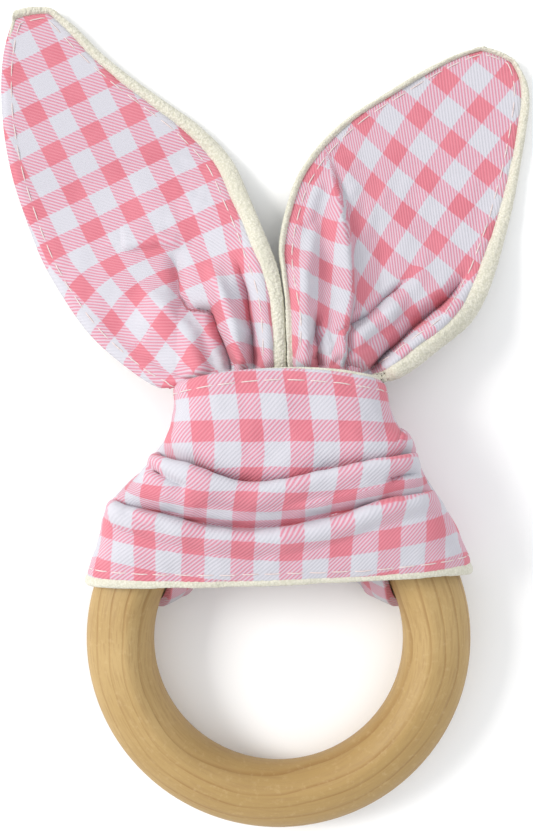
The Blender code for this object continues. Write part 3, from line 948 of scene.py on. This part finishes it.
def settle(surface):
    """How far each place of an ear moves when its cloth, a little wider than its neck, is let go: a cloth
    simulation of a coarse copy of the ear, which is held softly in its shape."""
    u, v = (np.linspace(0, 1, n) for n in (SETTLE_ROWS, SETTLE_COLUMNS))
    u, v = np.meshgrid(u, v, indexing="ij")
    start = surface(u, v)
    middle = start[:, SETTLE_COLUMNS // 2 : SETTLE_COLUMNS // 2 + 1]
    spare = SETTLE_SPARE * (1 - ease(u / 0.6))[..., None]
    rest = start + (start - middle) * spare * (1, 1, 0)
    mesh = bpy.data.meshes.new("settling")
    faces = grid_faces(SETTLE_ROWS, SETTLE_COLUMNS).tolist()
    mesh.from_pydata((start.reshape(-1, 3) * SETTLE_SCALE).tolist(), [], faces)
    cloth = put("settling", mesh)
    cloth.shape_key_add(name="start")
    wide = cloth.shape_key_add(name="rest")
    wide.data.foreach_set("co", (rest.reshape(-1, 3) * SETTLE_SCALE).astype(np.float32).ravel())
    held = cloth.vertex_groups.new(name="held")
    rim = np.minimum(np.minimum(v, 1 - v) * 8, (1 - u) * 14)
    weight = np.where(u < 0.02, 1.0, mix(0.7, 0.12, np.clip(rim, 0, 1))).ravel()
    for i, w in enumerate(weight.tolist()):
        held.add([i], w, "REPLACE")
    modifier = cloth.modifiers.new("settle", "CLOTH")
    for name, value in SETTLE_CLOTH.items():
        setattr(modifier.settings, name, value)
    modifier.settings.vertex_group_mass = "held"
    modifier.settings.rest_shape_key = wide
    modifier.collision_settings.use_collision = False
    modifier.point_cache.frame_start = 1
    modifier.point_cache.frame_end = SETTLE_FRAMES
    scene = bpy.context.scene
    for frame_number in range(1, SETTLE_FRAMES + 1):
        scene.frame_set(frame_number)
    solved = cloth.evaluated_get(bpy.context.evaluated_depsgraph_get())
    end = np.zeros(start.size, np.float32)
    solved.data.vertices.foreach_get("co", end)
    scene.frame_set(1)
    bpy.data.objects.remove(cloth)
    moved = end.reshape(start.shape) / SETTLE_SCALE - start
    far = np.linalg.norm(moved, axis=-1, keepdims=True)
    return moved * (SETTLE_CAP * np.tanh(far / SETTLE_CAP) / np.maximum(far, 1e-6))


def at_share(grid, u, v):
    """Values of a grid at shares u down its rows and v along its columns."""
    for _ in range(2):  # four times finer down the rows, then along them
        count = 4 * (len(grid) - 1) + 1
        finer = spline(grid.reshape(len(grid), -1), np.linspace(0, 1, count))
        grid = np.moveaxis(finer.reshape(count, -1, 3), 0, 1)
    row = np.clip(u, 0, 1) * (grid.shape[0] - 1)
    column = np.clip(v, 0, 1) * (grid.shape[1] - 1)
    i = np.minimum(row.astype(int), grid.shape[0] - 2)
    j = np.minimum(column.astype(int), grid.shape[1] - 2)
    f, g = (row - i)[..., None], (column - j)[..., None]
    return mix(mix(grid[i, j], grid[i, j + 1], g), mix(grid[i + 1, j], grid[i + 1, j + 1], g), f)


def stroke(x, y, points, height, before, after):
    """Height that a fold adds at (x, y): a ridge along a line of points, which falls off over one width to
    the left of its course and another to the right, and fades at both ends."""
    points = np.array(points, float)
    best = np.full(np.shape(x), 1e9)
    side = np.zeros(np.shape(x))
    along = np.zeros(np.shape(x))
    lengths = np.linalg.norm(np.diff(points, axis=0), axis=1)
    total, start = lengths.sum(), 0.0
    for (ax, ay), (bx, by), length in zip(points[:-1], points[1:], lengths):
        t = np.clip(((x - ax) * (bx - ax) + (y - ay) * (by - ay)) / length**2, 0, 1)
        dx, dy = x - mix(ax, bx, t), y - mix(ay, by, t)
        d = np.hypot(dx, dy)
        closer = d < best
        best = np.where(closer, d, best)
        side = np.where(closer, (bx - ax) * dy - (by - ay) * dx, side)
        along = np.where(closer, (start + t * length) / total, along)
        start += length
    width = np.where(side > 0, before, after)
    fade = ease(along / 0.12 + 0.4) * ease((1 - along) / 0.35)
    return height * fade * fall_off(best, width)


EAR_ROWS = 250
EAR_COLUMNS = 120
TERRY_ROWS = 420
TERRY_MIDDLE = 62  # columns between the finer ones at each edge
LIP_COLUMNS = 17
LIP_REACH = 3.8  # width that those take up
TIP_LIP = 1.2  # of terry past the gingham's tip
LIP_UNEVEN = 0.16  # of a lip's width, as the sewn edge rolls more or less
SET_BACK = 0.6  # of the terry, under an edge where none of it shows
EAR_TURN = 0.5  # depth of the gingham's turned edge
EAR_LOOPS = 0.24  # height of the terry's loops where it shows
EAR_STITCH_INSET = 2.1
TIP_STITCH_INSET = 3.0


def ear_gingham(name, ear, coat):
    rows = np.linspace(EAR_START, 1, EAR_ROWS)[:, None]
    share = np.linspace(0, 1, EAR_COLUMNS)[None]
    wide = ear.wide(rows)
    uneven = 1 + LIP_UNEVEN * waves(stack(rows * EAR_LENGTH, 0, 0), 5.0, 8)
    left, right = (shown * uneven / wide for shown in ear.shown(rows))
    end = 1 - TIP_LIP / EAR_LENGTH
    u = np.broadcast_to(mix(EAR_START, end, (rows - EAR_START) / (1 - EAR_START)), (EAR_ROWS, EAR_COLUMNS))
    v = mix(left, 1 - right, share)
    grid = ear.surface(u, v)
    gap = np.minimum(share, 1 - share) * (1 - left - right) * wide
    gap = np.minimum(gap, (end - u) * EAR_LENGTH)
    return gingham_layer(name + "_gingham_leaf", grid, upward(grid), gap, EAR_TURN, ear.cut_at(u, v), coat)


def ear_terry(name, ear, coat):
    """The terry under the gingham, which rolls up beside it wherever it shows."""
    rows = np.linspace(EAR_START, 1, TERRY_ROWS)[:, None]
    wide = ear.wide(rows)
    lip = np.minimum(LIP_REACH / wide, 0.3)
    edge = np.linspace(0, 1, LIP_COLUMNS)[None] * lip
    inner = mix(lip, 1 - lip, np.linspace(0, 1, TERRY_MIDDLE + 2)[None, 1:-1])
    v = np.concatenate([edge, inner, 1 - edge[:, ::-1]], 1)
    u = np.broadcast_to(rows, v.shape)
    left, right = ear.shown(rows)
    from_left, from_right, from_tip = v * wide, (1 - v) * wide, (1 - u) * EAR_LENGTH
    v = mix(SET_BACK * (1 - ease(left / 0.4)) / wide, 1, v)
    grid = ear.surface(u, v)
    out = upward(grid)
    top = np.full(v.shape, -TERRY_SUNK)
    for gap, shown in ((from_left, left), (from_right, right), (from_tip, TIP_LIP)):
        radius = np.maximum(shown / 2 + 0.35, 0.5)
        lift = 1.15 * rolled(gap, radius) * ease((shown - 0.05) / 0.35)
        top = np.maximum(top, lift - TERRY_SUNK)
    nearest = np.minimum(np.minimum(from_left, from_right), from_tip)
    round_edge = np.sqrt(1 - (1 - np.clip(nearest / TERRY_THICK, 0, 1)) ** 2)
    low = -TERRY_EDGE - (TERRY_THICK - TERRY_EDGE) * round_edge
    top = np.where(nearest < 0.05, -0.3, top)
    loops = pile(grid, 0.5, 3)
    upper = grid + out * (top + EAR_LOOPS * loops * (top > -0.12))[..., None]
    under = grid + out * (low - LOOPS * loops)[..., None]
    return cloth_piece(name + "_terry_leaf", upper, under, ear.cut_at(u, v), coat)


def ear_stitches(name, ear, coat):
    """The topstitching inside the gingham's edge, up one side of the ear, across its tip and down again."""
    u = np.linspace(0.04, 1 - TIP_STITCH_INSET / EAR_LENGTH, 300)
    left, right = ((shown + EAR_STITCH_INSET) / ear.wide(u) for shown in ear.shown(u))
    tip = np.linspace(left[-1], 1 - right[-1], 40)
    path_u = np.concatenate([u, 0 * tip + u[-1], u[::-1]])
    path_v = np.concatenate([left, tip, 1 - right[::-1]])
    path = ear.surface(path_u, path_v)
    side_step = ear.surface(path_u, np.clip(path_v + 0.01, 0, 1)) - path
    next_step = ear.surface(np.clip(path_u + 0.005, 0, 1), path_v) - path
    up = np.cross(side_step, next_step)
    up /= np.linalg.norm(up, axis=1, keepdims=True)
    up *= np.sign(np.median(up[:, 2]))
    return stitch_piece(name + "_stitches", path + up * CHECK_THICK, up, coat)


def ear_pieces(name, ear, coats):
    """Both layers of an ear and its stitches."""
    gingham = ear_gingham(name, ear, coats["gingham"])
    terry = ear_terry(name, ear, coats["terry"])
    stitches = ear_stitches(name, ear, coats["thread"])
    x = (ear.low + ear.high) / 2
    start, end = (tuple(metres((x, EAR_Y + step, NECK_Z))) for step in (-3.0, 10.0))
    made = ((gingham, "gingham", "_gingham"), (terry, "terry", "_terry"), (stitches, "thread", "_topstitch"))
    for piece, material, solid in made:
        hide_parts(name + solid)
        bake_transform(piece)
        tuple(start)
        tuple(end)


# ---------- the gathered strip through the hole


ROOT_ROWS = 110
ROOT_COLUMNS = 90
ROOT_END_Y = 46.8
ROOT_ROOM = 7.0  # from the middle of the wood to the innermost fold of the gathered strip
ROOT_BELOW = 2.9  # how far the gathered strip ends below the ear that goes on from it
ROOT_GATHER = 1.8  # cloth across it, as a share of its width
ROOT_OPEN = 0.22  # share of it over which its open edge leaves the wood


def root_reach(v):
    """How far the gathered strip stands from the middle of the wood, inside the hole."""
    return mix(6.8, 11.0, ease(v / ROOT_OPEN)) - 1.1 * v


def root(side, u, v):
    """The gathered strip from the hole, over the front of the ring and under the band, to the neck."""
    edge = mix(-14.6, -0.6, v) if side > 0 else mix(15.0, 1.7, v)
    drop = NECK_DROP * (1 - v) ** 2
    open_edge = ease(v / ROOT_OPEN)  # the lower edge lies on the wood, and the cloth above it stands off
    reach = root_reach(v)
    path = np.stack([
        by_wood(side * mix(80.0, 1.4, v), mix(mix(232.0, 206.0, open_edge), 191.0, v), reach),
        by_wood(side * mix(72.0, 1.5, v), mix(192.0, 178.0, v), reach),
        by_wood(side * mix(57.0, 1.6, v), 152.0, mix(7.1, 9.9, open_edge)),
        by_wood(side * mix(37.0, 1.8, v), 122.0, 9.9),
        by_wood(side * mix(30.0, 2.0, v), 90.0, 9.7),
        stack(edge, 39.5 + 0 * v, 18.4 - drop * 0.5),
        stack(edge, ROOT_END_Y + 0 * v, NECK_Z - ROOT_BELOW - drop),
    ])
    return spline(path, u)


def root_pieces(name, side, coats):
    """Both layers of the gathered strip on one side, in soft pleats."""
    rows, v = np.linspace(0, 1, ROOT_ROWS)[:, None], np.linspace(0, 1, ROOT_COLUMNS)
    grid = np.stack([root(side, u + 0 * v, v) for u in rows[:, 0]])
    at_neck = slice(-10, None)  # rows
    pleats = 0.55 * np.sin(v * 2 * math.pi * 3.5) * ease(rows / 0.1)
    small = 0.2 * waves(grid, 5.0, 7) * ease(v / 0.15)
    grid = grid + upward(grid, at_neck) * (pleats + small)[..., None]
    out = upward(grid, at_neck)
    cut = stack(run_length(grid, 0) / CHECK, run_length(grid, 1) / CHECK * ROOT_GATHER)
    turned = fall_off(v, 0.018)[:, None]  # the open edge is turned in over the terry
    outer, inner = grid + out * (0.9 - 1.3 * turned), grid + out * (0.3 - 0.9 * turned)
    gingham = cloth_piece(name + "_root_gingham_fold", outer, inner, cut, coats["gingham"])
    # inside the hole the bundle fills the room between its outer fold and the wood
    filled = np.clip(root_reach(v) - ROOT_ROOM, 0.4, 2.9)
    lining = mix(0.4, 1.6, ease(v / 0.15))
    thick = mix(filled, lining, ease((rows - 0.4) / 0.2)) + 0.2 * pile(grid, 0.7, 5)
    inset = slice(3, None)  # columns, clear of the turned edge
    under = (grid - out * thick[..., None])[:, inset]
    terry = cloth_piece(name + "_root_terry_fold", grid[:, inset], under, cut[:, inset], coats["terry"])
    for piece, material in ((gingham, "gingham"), (terry, "terry")):
        fit(piece, "knot", material, name + "_root_" + material)


# ---------- the set


CAMERA_HEIGHT = 265.0
CAMERA_LENS = 60.85
CAMERA_OVER = (-2.2, 40.72)  # from the ring's centre


def light(name, place, size, power, colour):
    """A square lamp that faces the object."""
    data = bpy.data.lights.new(name, "AREA")
    data.size = size
    data.energy = power
    data.color = colour
    lamp = put(name, data)
    lamp.location = place
    lamp.rotation_mode = "QUATERNION"
    lamp.rotation_quaternion = (-Vector(place)).to_track_quat("-Z", "Y")


TABLE_TONES = ((0.97, 0.97, 0.97), (0.955, 0.955, 0.955))
TABLE_HALF = 3.0  # metres
SKY = (0.97, 0.985, 1.0, 1.0)
SKY_STRENGTH = 0.91


def studio():
    """The camera above the object, the pale table under it and the light round it."""
    camera = put("camera", bpy.data.cameras.new("camera"))
    bpy.context.scene.camera = camera
    camera.data.lens = CAMERA_LENS
    camera.data.sensor_width = 36.0
    camera.data.clip_start = 0.01
    camera.location = tuple(metres((*CAMERA_OVER, CAMERA_HEIGHT)))

    n = Nodes("pale_table")
    tone = n.step(n.noise(n.place(), 30.0, 2.0), 0.3, 0.7)
    coat = n.done(n.colour(tone, *TABLE_TONES), 0.9, None, specular=0.1)
    mesh = bpy.data.meshes.new("table")
    corners = [(x * TABLE_HALF, y * TABLE_HALF, 0) for x, y in ((-1, -1), (1, -1), (1, 1), (-1, 1))]
    mesh.from_pydata(corners, [], [(0, 1, 2, 3)])
    mesh.materials.append(coat)
    put("table", mesh)

    world = bpy.data.worlds.new("studio")
    bpy.context.scene.world = world
    world.use_nodes = True
    background = world.node_tree.nodes["Background"]
    background.inputs["Color"].default_value = SKY
    background.inputs["Strength"].default_value = SKY_STRENGTH
    light("key", (-2.3, 0.5, 1.9), 1.1, 64.0, (1.0, 0.98, 0.95))
    light("fill", (0.6, 0.6, 1.6), 1.4, 3.2, (0.96, 0.98, 1.0))
    bpy.context.scene.view_settings.view_transform = "Standard"


def main():
    coats = {
        "gingham": gingham_twill(),
        "terry": terry_towelling(),
        "thread": sewing_thread(),
        "wood": turned_wood(),
    }
    fit(ring_piece(coats["wood"]), "ring", "wood", "wooden_ring")
    grid, plain, plain_out, cut = strip_middle()
    grid, out = middle_gingham(grid, cut, coats["gingham"])
    middle_terry(grid, out, plain, plain_out, cut, coats["terry"])
    band_stitches(grid, out, coats["thread"])
    for name, side in (("left", 1), ("right", -1)):
        root_pieces(name, side, coats)
    left_ear = Ear(LEFT_EAR_OUTER, LEFT_EAR_INNER, True, LEFT_FOLDS, left_cut, LEFT_LIPS)
    ear_pieces("left_ear", left_ear, coats)
    right_ear = Ear(RIGHT_EAR_INNER, RIGHT_EAR_OUTER, False, RIGHT_FOLDS, right_cut, RIGHT_LIPS)
    ear_pieces("right_ear", right_ear, coats)
    studio()


main()
